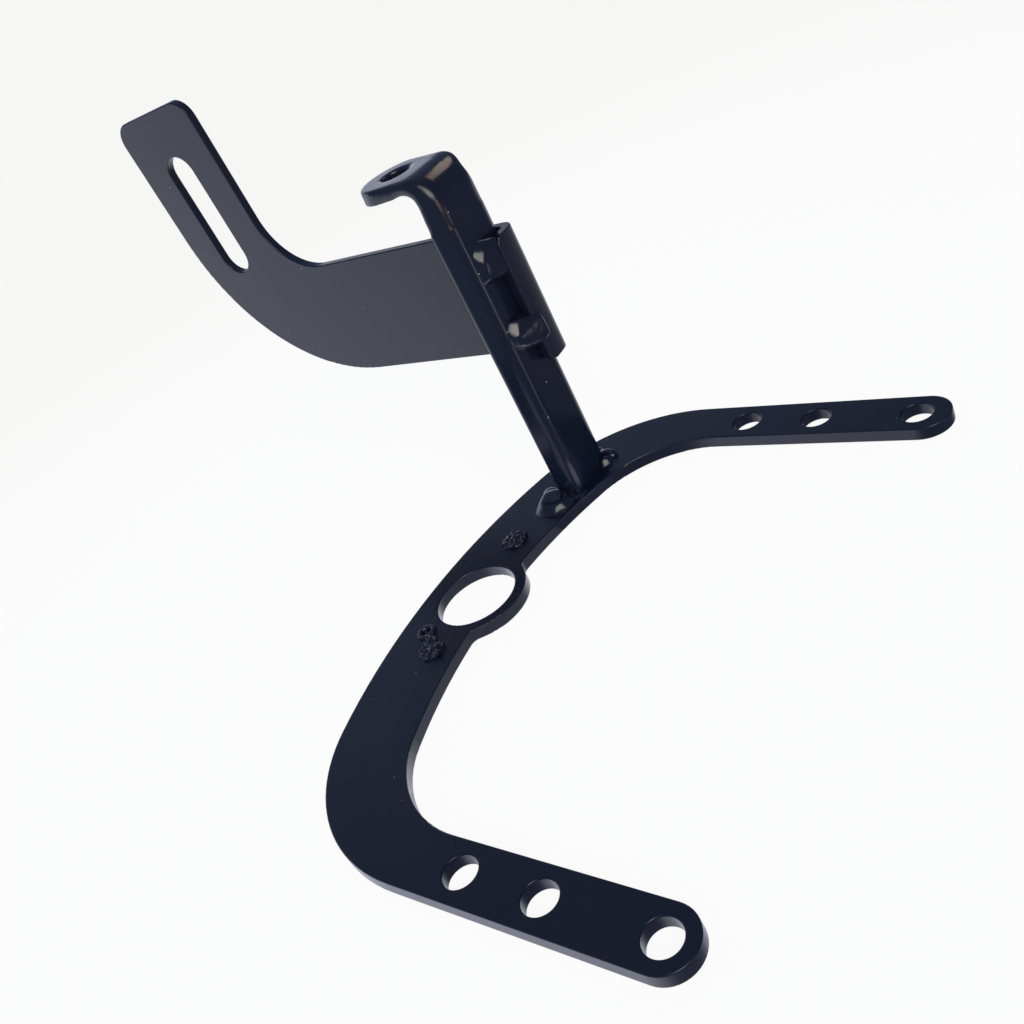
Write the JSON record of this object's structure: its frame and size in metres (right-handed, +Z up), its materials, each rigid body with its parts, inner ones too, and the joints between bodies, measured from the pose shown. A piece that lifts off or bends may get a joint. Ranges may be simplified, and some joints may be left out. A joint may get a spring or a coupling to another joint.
{
  "type": "headlight mounting bracket",
  "caption": "Black painted steel headlight bracket: a forked plate with bolt holes, a channel upright with a tongue bent back at its top, and a slotted arm welded to the upright's side.",
  "frame": {"origin": "axis of the large hole, on the plate's underside", "axes": "+X along the prongs to their tips, +Y to the side that the upright stands on, +Z up out of the plate"},
  "size_m": [0.2515, 0.184, 0.1539],
  "materials": {
    "paint": "gloss black paint",
    "weld_paint": "gloss black paint over rough weld metal"
  },
  "bodies": {
    "root": {"yoke_plate": "paint", "upright": "paint", "slotted_arm": "paint", "near_foot_weld": "weld_paint", "far_foot_weld": "weld_paint", "upper_arm_weld": "weld_paint", "lower_arm_weld": "weld_paint", "near_plug_weld": "weld_paint", "far_plug_weld": "weld_paint"}
  },
  "joints": []
}
